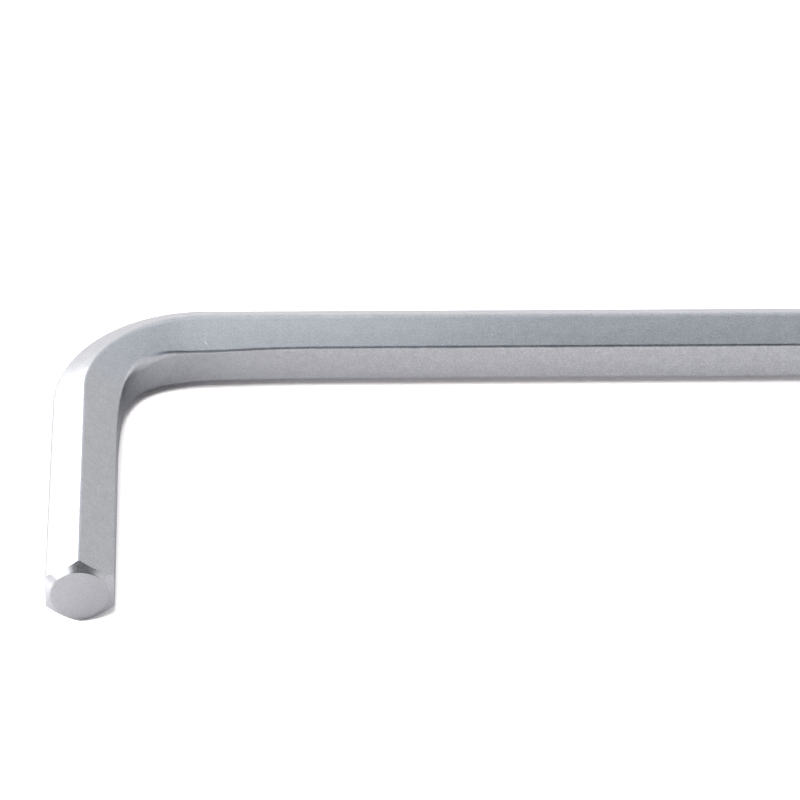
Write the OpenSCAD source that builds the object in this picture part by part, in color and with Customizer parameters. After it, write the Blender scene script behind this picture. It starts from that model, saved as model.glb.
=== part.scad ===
// Hex key: one length of hexagon bar, bent once to a right angle, with both ends turned to a chamfer.
// The bar lies on an edge, so one corner of the hexagon is up and its inner and outer flats stand upright.
// The origin is at the bottom centre of the key: the long arm runs along +X, the short arm along -Y.

/* [Bar] */
// Width of the hexagon bar across its flats
across_flats = 5; // [4:0.1:8]
// Radius left on the long edges of the drawn bar
edge_radius = 0.18; // [0.05:0.01:0.4]

/* [Arms] */
// Overall length of the long arm, from the outer flat of the short arm
long_arm = 85; // [60:0.5:120]
// Overall length of the short arm, from the outer flat of the long arm
short_arm = 32.8; // [25:0.1:50]

/* [Bend] */
// Radius of the bend, measured to the middle of the bar
bend_radius = 9.15; // [6:0.05:14]

/* [Ends] */
// Length of the chamfer along the corners of the bar
chamfer_length = 0.5; // [0.2:0.05:1]
// Slope of the chamfer, measured from the flat face of the end
chamfer_angle = 32; // [25:1:50]

/* [Hidden] */
$fn = 64;

// A hexagon's six flats are 60 degrees apart, and its corners lie half way between them
flat_step = 60;
half_step = flat_step / 2;

// The sharp hexagon that the rounded section is worked out from
sharp_corner = across_flats / 2 / cos(half_step);
edge_centre = sharp_corner - edge_radius / cos(half_step);
flat_width = 2 * (across_flats / 2 - edge_radius) * tan(half_step);
bar_height = 2 * (edge_centre + edge_radius);

// The straight lengths that are left of each arm beyond the bend
to_axis = across_flats / 2;
long_straight = long_arm - to_axis - bend_radius;
short_straight = short_arm - to_axis - bend_radius;

// The cone that turns the corners off an end runs out to a radius that clears the bar
turned_radius = sharp_corner - chamfer_length / tan(chamfer_angle);
clear_radius = 2 * sharp_corner;
cone_length = (clear_radius - turned_radius) * tan(chamfer_angle);
spare = 1;

// Cross-section of the bar: flats to the left and right, corners at the top and bottom
module section() {
    for (turn = [0 : flat_step : 120])
        rotate(turn)
            square([across_flats, flat_width], center = true);
    for (turn = [half_step : flat_step : 330])
        rotate(turn)
            translate([edge_centre, 0])
                circle(r = edge_radius);
}

// A straight arm standing on z = 0, with its turned end at the top
module arm(length) {
    intersection() {
        linear_extrude(height = length + spare)
            section();
        rotate_extrude()
            polygon([
                [0, -spare],
                [clear_radius, -spare],
                [clear_radius, length - cone_length],
                [turned_radius, length],
                [0, length]
            ]);
    }
}

// The quarter turn between the arms, about the centre of the bend
module bend() {
    rotate([0, 0, 90])
        rotate_extrude(angle = 90)
            translate([bend_radius, 0])
                section();
}

// The whole key, placed from the crossing of the two arms' axes
module hex_key() {
    color("silver")
        translate([to_axis - long_arm / 2, short_arm / 2 - to_axis, bar_height / 2]) {
            translate([bend_radius, 0, 0])
                rotate([90, 0, 90])
                    arm(long_straight);
            translate([bend_radius, -bend_radius, 0])
                bend();
            translate([0, -bend_radius, 0])
                rotate([90, 0, 0])
                    arm(short_straight);
        }
}

hex_key();
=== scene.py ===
import math

import bpy
import numpy as np
from mathutils import Matrix, Vector


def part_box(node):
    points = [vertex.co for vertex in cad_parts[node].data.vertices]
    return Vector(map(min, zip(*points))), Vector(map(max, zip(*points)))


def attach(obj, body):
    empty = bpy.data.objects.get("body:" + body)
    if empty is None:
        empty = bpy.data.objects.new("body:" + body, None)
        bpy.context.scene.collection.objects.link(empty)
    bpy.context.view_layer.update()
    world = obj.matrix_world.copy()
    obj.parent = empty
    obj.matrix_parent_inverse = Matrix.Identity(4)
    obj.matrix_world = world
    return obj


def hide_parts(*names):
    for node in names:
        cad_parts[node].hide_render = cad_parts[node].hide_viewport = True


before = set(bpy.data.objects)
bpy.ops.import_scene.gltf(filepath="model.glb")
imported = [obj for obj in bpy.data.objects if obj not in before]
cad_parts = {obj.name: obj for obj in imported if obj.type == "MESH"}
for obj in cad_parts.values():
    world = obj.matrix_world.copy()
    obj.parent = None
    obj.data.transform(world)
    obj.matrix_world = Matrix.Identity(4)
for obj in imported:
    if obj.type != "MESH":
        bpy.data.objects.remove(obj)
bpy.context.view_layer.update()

# The drawn bar
# A hexagon key starts as one length of drawn hexagon bar, with six true flats and a small radius on each
# long edge. Use has worn the edges, which are listed from the upper outer one over the ridge to the inside.
# Sizes here are in millimetres, and the mesh is put into metres at the end.
MM = 0.001
low, high = (np.array(corner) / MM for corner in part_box("hex_key"))
across_flats = 5.0
edge_radius = 0.18
worn_edges = np.array([0.60, 0.30, 0.25, 0.08, 0.18, 0.18])
half_step = math.radians(30)
sharp_corner = across_flats / 2 / math.cos(half_step)
arc_columns = 8
flat_columns = 22


def bar_outline(edges):
    """The rounded hexagon, for rows of the radii of its six edges: each corner is an arc about its own
    centre, and each flat runs straight from one arc to the next. Gives rows of points as (outward, upward)
    offsets from the bar's axis, and the points' normals."""
    corner = (half_step * (1 + 2 * np.arange(6)))[:, None]
    turn = np.linspace(-half_step, half_step, arc_columns + 1)[None, :]
    facing = np.stack([np.cos(corner + turn), np.sin(corner + turn)], -1)
    edges = edges[:, :, None, None]
    middle = (sharp_corner - edges / math.cos(half_step)) * np.stack([np.cos(corner), np.sin(corner)], -1)
    arc = middle + edges * facing
    start = arc[:, :, -1:]
    reach = np.roll(arc, -1, axis=1)[:, :, :1] - start
    share = np.linspace(0, 1, flat_columns + 1)[1:-1, None]
    flat = start + reach * share
    flat_facing = np.repeat(facing[:, -1:], flat_columns - 1, axis=1)
    points = np.concatenate([arc, flat], axis=2).reshape(len(edges), -1, 2)
    normals = np.concatenate([facing, flat_facing], axis=1).reshape(-1, 2)
    return points, normals


# The bend
# The bar is bent once, cold, round a former to a right angle. It keeps one flat on the inside of the bend
# and one on the outside, so the key lies on the edge between two flats. The former presses the inner flat
# and squeezes a little steel out beside it. Each swell has its place, and its width before and after it.
bend_radius = 9.15
bar_middle = (low[2] + high[2]) / 2
bend_middle = np.array([low[0] + across_flats / 2 + bend_radius, high[1] - across_flats / 2 - bend_radius])
short_straight = bend_middle[1] - low[1]
long_straight = high[0] - bend_middle[0]
bend_length = bend_radius * math.pi / 2
bar_length = short_straight + bend_length + long_straight
bend_rows = 72
arm_row_length = 0.6
start_swell = 0.18
start_swell_place = (22.2, 2.6, 2.4)
end_swell = 0.24
end_swell_place = (34.8, 3.0, 4.8)
pressed_depth = 0.14
pressed_radius = 0.8
pressed_place = (28.4, 2.3, 3.3)
bend_sag = 0.26
bend_sag_place = (31.0, 4.5, 5.5)
long_arm_sag = 0.12
sag_lean = 0.1
long_arm_wear = np.array([-0.42, 0.40, 0.08, 0, 0, 0])


def along_bar(place):
    """The bar's axis at a distance along it, from the short end: straight, a quarter turn, straight. Gives
    the point, the direction along the bar and the direction to the outside of the bend, all level."""
    angle = np.clip((place - short_straight) / bend_radius, 0, math.pi / 2)
    outward = np.stack([-np.cos(angle), np.sin(angle), 0 * angle], -1)
    forward = np.stack([np.sin(angle), np.cos(angle), 0 * angle], -1)
    past = place - short_straight - bend_radius * angle
    middle = np.array([bend_middle[0], bend_middle[1], bar_middle])
    return middle + bend_radius * outward + past[..., None] * forward, forward, outward


def hump(place, centre, before, after):
    """A smooth hump along the bar, 1 at its centre, with its own width before and after it."""
    return np.exp(-(((place - centre) / np.where(place < centre, before, after)) ** 2))


def on_long_arm(place):
    """0 on the short arm, 1 on the long arm, and smooth through the bend."""
    share = np.clip((place - short_straight) / bend_length, 0, 1)
    return share * share * (3 - 2 * share)


def pressed_edges(place):
    """The radii of the six edges along the bar: the former presses the two inner ones wide in mid-bend, and
    the long arm is worn more on its ridge and less on its outside."""
    inner = np.array([0, 0, 1, 1, 0, 0])
    pressed = pressed_radius * inner * hump(place, *pressed_place)[:, None]
    return worn_edges + long_arm_wear * on_long_arm(place)[:, None] + pressed


def squeezed(place, outline, facing):
    """The steel that the bend squeezes out. The inner flat is pressed back in mid-bend and stands proud
    beside it, its upper neighbour stays in its plane, and the lower inner edge is pushed down. Each point
    moves by its share of the inward reach. Gives the moved outline, its normals, and how steeply it moves
    along the bar, measured along them."""
    shift = start_swell * hump(place, *start_swell_place) + end_swell * hump(place, *end_swell_place)
    shift = shift - pressed_depth * hump(place, *pressed_place)
    push = bend_sag * hump(place, *bend_sag_place) + long_arm_sag * on_long_arm(place)
    inward = np.maximum(-outline[..., 0], 0) / (across_flats / 2)
    height = outline[..., 1] / sharp_corner
    lean = np.clip(2 * height, -1, 1) * math.tan(half_step)
    swell = np.stack([-inward, -lean * inward], -1)
    low_share = (np.clip(0.5 - height, 0, 1) * inward**2)[..., None]
    drop = low_share * [sag_lean, -1.0]
    move = shift[:, None, None] * swell + push[:, None, None] * drop
    shift_slope, push_slope = (np.gradient(part, place)[:, None, None] for part in (shift, push))
    steepness = shift_slope * swell + push_slope * drop
    along = np.stack([-facing[:, 1], facing[:, 0]], -1)
    step = np.roll(outline, -1, axis=1) - np.roll(outline, 1, axis=1)
    turn = np.roll(move, -1, axis=1) - np.roll(move, 1, axis=1)
    turn = turn / np.linalg.norm(step, axis=-1, keepdims=True)
    normals = facing - along * (turn * facing).sum(-1, keepdims=True)
    return outline + move, normals, (steepness * facing).sum(-1)


# The ends
# Each end is faced flat and its six corners are turned off to a cone, so that the key finds its way into a
# socket. The two edges of the cone are broken by a very small radius.
chamfer_angle = math.radians(32)
chamfer_length = 0.5
disc_radius = sharp_corner - chamfer_length / math.tan(chamfer_angle)
broken_edge = 0.05
broken_rows = 4
disc_rows = 3
end_length = 1.2


def end_profile(radius):
    """One end, for each column's radius on the bar: out along the disc, round its edge, up the cone, round
    onto the bar. Gives rows of (radius, depth behind the face) and the angle of each row's normal."""
    rim = np.linspace(0, chamfer_angle, broken_rows + 1)
    shoulder = np.linspace(chamfer_angle, math.pi / 2, 2 * broken_rows + 1)
    rim_tangent = broken_edge * math.tan(chamfer_angle / 2)
    shoulder_tangent = broken_edge * math.tan((math.pi / 2 - chamfer_angle) / 2)
    disc = (disc_radius - rim_tangent) * np.arange(1, disc_rows) / disc_rows
    rim_radius = disc_radius - rim_tangent + broken_edge * np.sin(rim)
    rim_depth = broken_edge * (1 - np.cos(rim))
    inner_radius = np.concatenate([disc, rim_radius])[:, None] + 0 * radius
    inner_depth = np.concatenate([0 * disc, rim_depth])[:, None] + 0 * radius
    start = (radius - disc_radius) * math.tan(chamfer_angle) + shoulder_tangent
    outer_radius = radius - broken_edge * (1 - np.sin(shoulder))[:, None]
    outer_depth = start - broken_edge * np.cos(shoulder)[:, None]
    angle = np.concatenate([0 * disc, rim, shoulder])
    return np.vstack([inner_radius, outer_radius]), np.vstack([inner_depth, outer_depth]), angle


# The whole key
# The key is one piece of plated tool steel, so its surface is one closed mesh: a grid of rows along the
# bar and columns round it, with a point in the middle of each end.
def key_surface():
    """Carries the outline along the bar. The rows near an end follow the cone, so that its curved edge on
    each flat is a row of the mesh. Gives the points, their normals, and their places along and round the
    bar."""
    outline, facing = bar_outline(worn_edges[None])
    outline = outline[0]
    radius = np.hypot(outline[:, 0], outline[:, 1])
    end_radius, end_depth, end_angle = end_profile(radius)

    short_rows = np.arange(end_length, short_straight, arm_row_length)
    turn_rows = short_straight + bend_length * np.linspace(0, 1, bend_rows + 1)
    long_count = round((long_straight - end_length) / arm_row_length)
    long_rows = np.linspace(short_straight + bend_length, bar_length - end_length, long_count + 1)[1:]
    rows = np.concatenate([short_rows, turn_rows, long_rows])
    middle_rows = rows[:, None] + 0 * radius

    place = np.vstack([end_depth, middle_rows, bar_length - end_depth[::-1]])
    size = np.vstack([end_radius, 0 * middle_rows + radius, end_radius[::-1]]) / radius
    square_on = np.full(len(middle_rows), math.pi / 2)
    angle = np.concatenate([end_angle, square_on, end_angle[::-1]])[:, None, None]
    towards_end = np.concatenate([-np.ones(len(end_angle)), 0 * square_on, np.ones(len(end_angle))])

    share = np.clip((angle - chamfer_angle) / (math.pi / 2 - chamfer_angle), 0, 1)
    spread = (1 - share) * (outline / radius[:, None]) + share * facing
    spread = spread / np.linalg.norm(spread, axis=-1, keepdims=True)

    middle, forward, outward = along_bar(place)
    upward = np.array([0.0, 0.0, 1.0])
    offset = outline[None] * size[..., None]
    slope = 0 * place
    bent = slice(len(end_angle), -len(end_angle))
    offset[bent], spread[bent], slope[bent] = squeezed(rows, bar_outline(pressed_edges(rows))[0], facing)
    points = middle + offset[..., :1] * outward + offset[..., 1:] * upward
    normals = np.sin(angle) * (spread[..., :1] * outward + spread[..., 1:] * upward)
    normals = normals + (np.cos(angle) * towards_end[:, None, None] - slope[..., None]) * forward
    normals = normals / np.linalg.norm(normals, axis=-1, keepdims=True)

    even = bar_outline(np.full((1, 6), edge_radius))[0][0]
    step = np.linalg.norm(np.roll(even, -1, axis=0) - even, axis=1)
    around = np.concatenate([[0], np.cumsum(step)])
    return points, normals, place, around


def closed_tube(points):
    """Faces for a grid of points that closes round its columns: a quad for each cell, and a fan of
    triangles to a point in the middle of the first and the last row. All of them face outwards."""
    rows, columns = points.shape[:2]
    number = np.arange(rows * columns).reshape(rows, columns)
    beside = np.roll(number, -1, axis=1)
    quads = np.stack([number[:-1], beside[:-1], beside[1:], number[1:]], -1).reshape(-1, 4)
    first, last = rows * columns, rows * columns + 1
    start_fan = np.stack([np.full(columns, first), beside[0], number[0]], -1)
    end_fan = np.stack([np.full(columns, last), number[-1], beside[-1]], -1)
    return quads, start_fan, end_fan


def key_mesh(name):
    """The key's mesh in metres, with its true normals and a map in millimetres along and round the bar."""
    points, normals, place, around = key_surface()
    rows, columns = points.shape[:2]
    ends = np.stack([points[0].mean(0), points[-1].mean(0)])
    end_normals = np.array([[0.0, -1.0, 0.0], [1.0, 0.0, 0.0]])
    quads, start_fan, end_fan = closed_tube(points)
    mesh = bpy.data.meshes.new(name)
    vertices = np.vstack([points.reshape(-1, 3), ends]) * MM
    mesh.from_pydata(vertices.tolist(), [], quads.tolist() + start_fan.tolist() + end_fan.tolist())

    here, there = around[:-1], around[1:]
    beside = np.roll(place, -1, axis=1)
    cell_along = np.stack([place[:-1], beside[:-1], beside[1:], place[1:]], -1)
    cell_around = np.broadcast_to(np.stack([here, there, there, here], -1), cell_along.shape)
    quad_map = np.stack([cell_along, cell_around], -1).reshape(-1, 2)
    start_map = np.stack([0 * here, here, 0 * here, there, 0 * here, here], -1).reshape(-1, 2)
    end_map = start_map + [bar_length, 0]
    layer = mesh.uv_layers.new(name="BarPlace")
    layer.uv.foreach_set("vector", np.vstack([quad_map, start_map, end_map]).astype(np.float32).ravel())

    mesh.shade_smooth()
    mesh.normals_split_custom_set_from_vertices(np.vstack([normals.reshape(-1, 3), end_normals]).tolist())
    mesh.validate()
    return mesh


plating_dark = (0.475, 0.48, 0.505, 1)
plating_light = (0.725, 0.73, 0.76, 1)
faced_dark = (0.435, 0.44, 0.465, 1)
faced_light = (0.59, 0.595, 0.62, 1)
bare_steel = (0.86, 0.86, 0.87, 1)
middle_tone = 0.47
# Painted highlight: the flat just inside the long arm's ridge is made lighter in colour by this tone.
ridge_highlight_tone = 0.09
turned_tone = 0.04
fine_scale = 9.0
patch_scale = 1.5
chip_scale = 4.0
line_scale = (0.25, 9.0, 1.0)
grain_depth = 0.01
short_arm_grain = 0.82
long_arm_grain = 1.15
grain_change = (35, 75)
turned_grain = 0.07
chip_depth = 7
nick_depth = 3
ridge_highlight_reach = 2.6
side_step = edge_radius * 2 * half_step + (across_flats - 2 * edge_radius) * math.tan(half_step)
edge_share = edge_radius * 2 * half_step / side_step
# Each nick: its place along and round the bar, its length and width, and its turn in degrees.
nicks = [
    (35.6, 5.1, 0.42, 0.10, 66), (58.1, 4.7, 0.20, 0.12, 80),
    (71.5, 1.2, 0.35, 0.09, 40), (12.4, 10.3, 0.30, 0.10, 15)]


class Wire:
    """A socket of a node tree. Python's operators on it add Math nodes, and node() adds any other."""

    def __init__(self, tree, socket=None):
        self.tree = tree
        self.socket = socket

    def node(self, kind, settings=None, values=None, output=0):
        """A node of a kind: its settings are set first, then the value or link of each socket."""
        made = self.tree.nodes.new("ShaderNode" + kind)
        for name, value in (settings or {}).items():
            if name == "stops":
                ramp = made.color_ramp.elements
                for position, _ in value[2:]:
                    ramp.new(position)
                for stop, (position, colour) in zip(ramp, value):
                    stop.position, stop.color = position, colour
            else:
                setattr(made, name, value)
        for name, value in (values or {}).items():
            if isinstance(value, Wire):
                self.tree.links.new(value.socket, made.inputs[name])
            else:
                made.inputs[name].default_value = value
        return Wire(self.tree, made.outputs[output] if made.outputs else None)

    def math(self, operation, *values):
        """A Math node of one operation on these values."""
        return self.node("Math", {"operation": operation}, dict(enumerate(values)))

    def __add__(self, other):
        return self.math("ADD", self, other)

    def __radd__(self, other):
        return self.math("ADD", other, self)

    def __sub__(self, other):
        return self.math("SUBTRACT", self, other)

    def __rsub__(self, other):
        return self.math("SUBTRACT", other, self)

    def __mul__(self, other):
        return self.math("MULTIPLY", self, other)

    def __rmul__(self, other):
        return self.math("MULTIPLY", other, self)

    def blend(self, first, second):
        """From one colour to another, with this value as the share of the second."""
        colours = {0: self, 6: first, 7: second}
        return self.node("Mix", {"data_type": "RGBA", "clamp_factor": True}, colours, 2)

    def rise(self, start, end):
        """0 below start, 1 above end and smooth between them."""
        span = {"interpolation_type": "SMOOTHSTEP"}
        return self.node("MapRange", span, {"Value": self, "From Min": start, "From Max": end})


def satin_steel():
    """Bright plating over the drawn steel. The bar was tumbled before it was plated, which leaves a fine
    grain on its flats, a little stronger on the long arm. Its edges have small chips, the flat inside the
    long arm's ridge has a painted highlight, the turned ends are smoother and a little darker, and a few
    nicks show bare steel."""
    material = bpy.data.materials.new("satin_plated_steel")
    material.use_nodes = True
    tree = material.node_tree
    tree.nodes.clear()
    start = Wire(tree)
    place = start.node("TexCoord", output="Object")
    bar_place = start.node("UVMap", {"uv_map": "BarPlace"})
    along = start.node("SeparateXYZ", values={"Vector": bar_place}, output=0)
    around = start.node("SeparateXYZ", values={"Vector": bar_place}, output=1)

    fine_noise = {"Vector": place, "Scale": fine_scale / MM, "Detail": 2.0, "Roughness": 0.6}
    fine = start.node("TexNoise", values=fine_noise)
    patches = start.node("TexNoise", values={"Vector": place, "Scale": patch_scale / MM, "Detail": 3.0})
    drawn = start.node("Mapping", values={"Vector": bar_place, "Scale": line_scale})
    lines = start.node("TexNoise", values={"Vector": drawn, "Scale": 1.0, "Detail": 2.0})
    chips = start.node("TexNoise", values={"Vector": place, "Scale": chip_scale / MM, "Detail": 1.0})

    sides = around * (1 / side_step)
    across = sides.math("FRACT", sides)
    on_edge = 1 - across.rise(1.0 * edge_share, 1.4 * edge_share) + across.rise(1 - 0.4 * edge_share, 1.0)
    turned = 1 - along.rise(0.6 * chamfer_length, 1.2 * chamfer_length)
    turned = turned + along.rise(bar_length - 1.2 * chamfer_length, bar_length - 0.6 * chamfer_length)
    faced = 1 - along.rise(0.02, 0.1) + along.rise(bar_length - 0.1, bar_length - 0.02)
    bare = 0
    for nick_along, nick_around, length, width, turn in nicks:
        lie = {"Location": (nick_along, nick_around, 0), "Rotation": (0, 0, math.radians(turn))}
        lie |= {"Vector": bar_place, "Scale": (length / 2, width / 2, 1)}
        spot = start.node("Mapping", {"vector_type": "TEXTURE"}, lie)
        reach = start.node("VectorMath", {"operation": "LENGTH"}, {"Vector": spot}, "Value")
        bare = bare + (1 - reach.rise(0.6, 1.3))

    grain = short_arm_grain + (long_arm_grain - short_arm_grain) * along.rise(*grain_change)
    grain = grain - turned * turned_grain
    # Painted highlight: a lighter band of colour on the flat inside the long arm's ridge, out to its reach.
    from_ridge = around - side_step * (1 + edge_share)
    ridge_highlight = from_ridge.rise(-edge_radius, 0) * (1 - from_ridge.rise(0, ridge_highlight_reach))
    ridge_highlight = ridge_highlight * along.rise(short_straight, short_straight + bend_length)
    tone = patches * 0.2 + fine * 0.7 + lines * 0.1 - 0.5
    tone = (tone * grain + middle_tone + ridge_highlight * ridge_highlight_tone - turned * turned_tone).rise(0.25, 0.75)
    plated = faced.blend(tone.blend(plating_dark, plating_light), tone.blend(faced_dark, faced_light))
    colour = bare.blend(plated, bare_steel)
    roughness = 0.25 + patches * 0.06 + lines * 0.03 - turned * 0.08
    chipped = on_edge * (1 - turned) * (chips - 0.5)
    height = (fine * 0.7 + lines * 0.3) * grain + chipped * chip_depth - bare * nick_depth
    normal = start.node("Bump", values={"Strength": 0.35, "Distance": grain_depth * MM, "Height": height})
    values = {"Base Color": colour, "Metallic": 1.0, "Roughness": roughness, "Normal": normal}
    surface = start.node("BsdfPrincipled", values=values)
    start.node("OutputMaterial", values={"Surface": surface})
    return material


key = bpy.data.objects.new("key", key_mesh("key"))
bpy.context.scene.collection.objects.link(key)
key.data.materials.append(satin_steel())
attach(key, "root")
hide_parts("hex_key")

# The floor
# The key lies on a plain white sheet. The picture is exposed for the steel, so the sheet shows white, and
# only the shadow close under the key is seen on it. As the steel mirrors it, the sheet has painted light,
# brighter on the right, and painted shade, darker where the sheet is close to the key.
floor_size = 3000
floor_colour = (0.81, 0.775, 0.77, 1)
floor_seen = 1.6
# The sheet as mirrored has painted light, rising from the left level to the right one, and painted shade
# near the key, where it falls to corner_shade of the left level.
floor_mirrored_left = 1.15
floor_mirrored_right = 1.33
painted_light_from_to = (-45, 30)
corner_reach = 6
corner_shade = 0.7


def sheet_material():
    """One level for the camera and through glass, one for the light that the sheet gives back, and one for
    mirrors, with painted shade close to the key and painted light that rises from left to right."""
    material = bpy.data.materials.new("white_sheet")
    material.use_nodes = True
    tree = material.node_tree
    tree.nodes.clear()
    start = Wire(tree)
    seen = start.node("LightPath", output="Is Camera Ray")
    seen = seen + start.node("LightPath", output="Is Transmission Ray")
    mirrored = start.node("LightPath", output="Is Glossy Ray")
    levels = (floor_seen, floor_mirrored_left * corner_shade, floor_mirrored_left, floor_mirrored_right)
    colours = (tuple(level * part for part in floor_colour[:3]) + (1,) for level in levels)
    bright, painted_shade_colour, left, right = colours
    place = start.node("TexCoord", output="Object")
    across = start.node("SeparateXYZ", values={"Vector": place}, output=0)
    # Painted shade: the sheet as mirrored is made darker where the key hides it from the room around.
    corner = start.node("AmbientOcclusion", {"samples": 4}, {"Distance": corner_reach * MM}, "AO")
    # Painted light: the sheet as mirrored is made brighter towards the right.
    painted_light_sheet = across.rise(*(MM * end for end in painted_light_from_to)).blend(left, right)
    reflected = corner.rise(0.35, 0.7).blend(painted_shade_colour, painted_light_sheet)
    colour = seen.blend(mirrored.blend(floor_colour, reflected), bright)
    surface = start.node("BsdfDiffuse", values={"Color": colour})
    start.node("OutputMaterial", values={"Surface": surface})
    return material


corners = [(-1, -1, 0), (1, -1, 0), (1, 1, 0), (-1, 1, 0)]
sheet = bpy.data.meshes.new("floor")
edge = floor_size / 2 * MM
sheet.from_pydata([[edge * part for part in corner] for corner in corners], [], [(0, 1, 2, 3)])
sheet.materials.append(sheet_material())
floor = bpy.data.objects.new("floor", sheet)
bpy.context.scene.collection.objects.link(floor)

# The light
# The room is a light tent with an open front: white all round and overhead, dark where the camera stands.
# A large soft lamp stands behind on the left, a white panel hangs over the bend, and a card and a small low
# lamp stand close on the left. The lamp over the camera only lights the sheet and makes the key's shadow.
slope_level = 0.71
opening_depth = 0.67
roof_level = 0.54
lower_tint = (1.0, 1.0, 1.0, 1)
upper_tint = (0.965, 1.01, 1.05, 1)
opening_tint = (0.6, 0.92, 1.4, 1)
wall_peak = 2.2
# Levels over one turn of the wall: 0 is the back, 0.25 the left, 0.5 the front and 0.75 the right.
wall = [
    (0.00, 1.1), (0.10, 1.3), (0.25, 1.5), (0.36, 2.2), (0.435, 2.2), (0.458, 0.23), (0.568, 0.25),
    (0.60, 0.96), (0.64, 0.85), (0.75, 0.85), (0.775, 1.1), (0.82, 1.1), (0.88, 0.74), (0.93, 0.74),
    (1.00, 1.1)]
world = bpy.data.worlds.new("tent")
bpy.context.scene.world = world
world.use_nodes = True
world.node_tree.nodes.clear()
tent = Wire(world.node_tree)
way = tent.node("TexCoord", output="Generated")
parts = tent.node("SeparateXYZ", values={"Vector": way}).socket.node.outputs
right, back, up = (Wire(world.node_tree, part) for part in parts)
around = right.math("ARCTAN2", right, 0 - back)
stops = [(turn, (level / wall_peak,) * 3 + (1,)) for turn, level in wall]
walls = wall_peak * tent.node("ValToRGB", {"stops": stops}, {"Fac": around * (0.5 / math.pi) + 0.5})
aside = around - 0.1
front = 1 - aside.math("ABSOLUTE", aside).rise(0.7, 1.05)
beside = front * around.rise(0.5, 0.8)
slope = slope_level - opening_depth * front
roof = up.rise(0.85, 0.97)
upper = slope * (1 - roof) + roof_level * roof
lower = 1 - up.rise(0.40 - 0.22 * beside, 0.62 - 0.30 * beside)
tent_level = walls * lower + upper * (1 - lower)
opening = front * (1 - lower) * (1 - roof)
tint = opening.blend(lower.blend(upper_tint, lower_tint), opening_tint)
lit = tent.node("Background", values={"Color": tint, "Strength": tent_level})
plain = tent.node("Background", values={"Color": (1, 1, 1, 1), "Strength": 1.0})
seen = tent.node("LightPath", output="Is Camera Ray")
seen = seen + tent.node("LightPath", output="Is Transmission Ray")
room = tent.node("MixShader", values={0: seen, 1: lit, 2: plain})
tent.node("OutputWorld", values={"Surface": room})


def soft_lamp(name, place, towards, size, power, colour=(1.0, 1.0, 1.0)):
    """A rectangular soft lamp at a place, turned to face a point. Places and sizes are in metres, and power
    is in watts."""
    lamp = bpy.data.lights.new(name, "AREA")
    lamp.shape = "RECTANGLE"
    lamp.size, lamp.size_y = size
    lamp.energy = power
    lamp.color = colour
    holder = bpy.data.objects.new(name, lamp)
    bpy.context.scene.collection.objects.link(holder)
    holder.location = place
    holder.rotation_euler = (Vector(towards) - Vector(place)).to_track_quat("-Z", "Y").to_euler()
    holder.visible_camera = False
    return holder


near_bend = (-0.03, 0.0, 0.0)
panel_tint = (0.90, 0.96, 0.98)
soft_lamp("overhead_panel", (-0.105, 0.0, 0.10), (-0.105, 0.0, 0.0), (0.20, 0.20), 0.0345, panel_tint)
soft_lamp("left_lamp", (-0.35, 0.25, 0.16), near_bend, (0.35, 0.26), 0.6)
soft_lamp("left_card", (-0.10, -0.02, 0.05), (0.0, -0.02, 0.03), (0.20, 0.10), 0.045)
low_lamp = soft_lamp("low_lamp", (-0.058, -0.016, 0.006), (-0.058, -0.016, 0.0), (0.020, 0.016), 0.0024)
low_lamp.visible_glossy = False
front_lamp = soft_lamp("front_lamp", (-0.07, -0.32, 0.49), near_bend, (0.16, 0.19), 3.6)
front_lamp.visible_glossy = False
front_lamp.data.use_nodes = True
front_lamp.data.node_tree.nodes.clear()
glow = Wire(front_lamp.data.node_tree)
ray_depth = glow.node("LightPath", output="Ray Depth")
straight = glow.math("LESS_THAN", ray_depth, 1.5)
glow.node("OutputLight", values={"Surface": glow.node("Emission", values={"Strength": straight})})

# The camera
# It looks down over the short arm from about 270 mm away, with the long arm running out of the picture on
# the right. The aim is on the plane of the bend, from the crossing of the arms' axes.
view_width = 800
view_focus = 3485.0
camera_azimuth = math.radians(-4.18)
camera_elevation = math.radians(37.23)
camera_roll = math.radians(2.15)
camera_distance = 270.35
aim = (24.25, -7.39)

crossing = np.array([low[0] + across_flats / 2, high[1] - across_flats / 2, bar_middle])
target = Vector((crossing + [aim[0], aim[1], 0]) * MM)
level = math.cos(camera_elevation)
height = math.sin(camera_elevation)
backward = Vector((math.sin(camera_azimuth) * level, -math.cos(camera_azimuth) * level, height))
rightward = Vector((0, 0, 1)).cross(backward).normalized()
upward = backward.cross(rightward)
axes = Matrix((rightward, upward, backward)).transposed() @ Matrix.Rotation(camera_roll, 3, "Z")
camera = bpy.data.cameras.new("camera")
camera.sensor_width = 36.0
camera.lens = camera.sensor_width * view_focus / view_width
camera.clip_start = 0.01
viewer = bpy.data.objects.new("camera", camera)
bpy.context.scene.collection.objects.link(viewer)
viewer.matrix_world = Matrix.Translation(target + backward * camera_distance * MM) @ axes.to_4x4()
bpy.context.scene.camera = viewer
bpy.context.scene.view_settings.view_transform = "Standard"
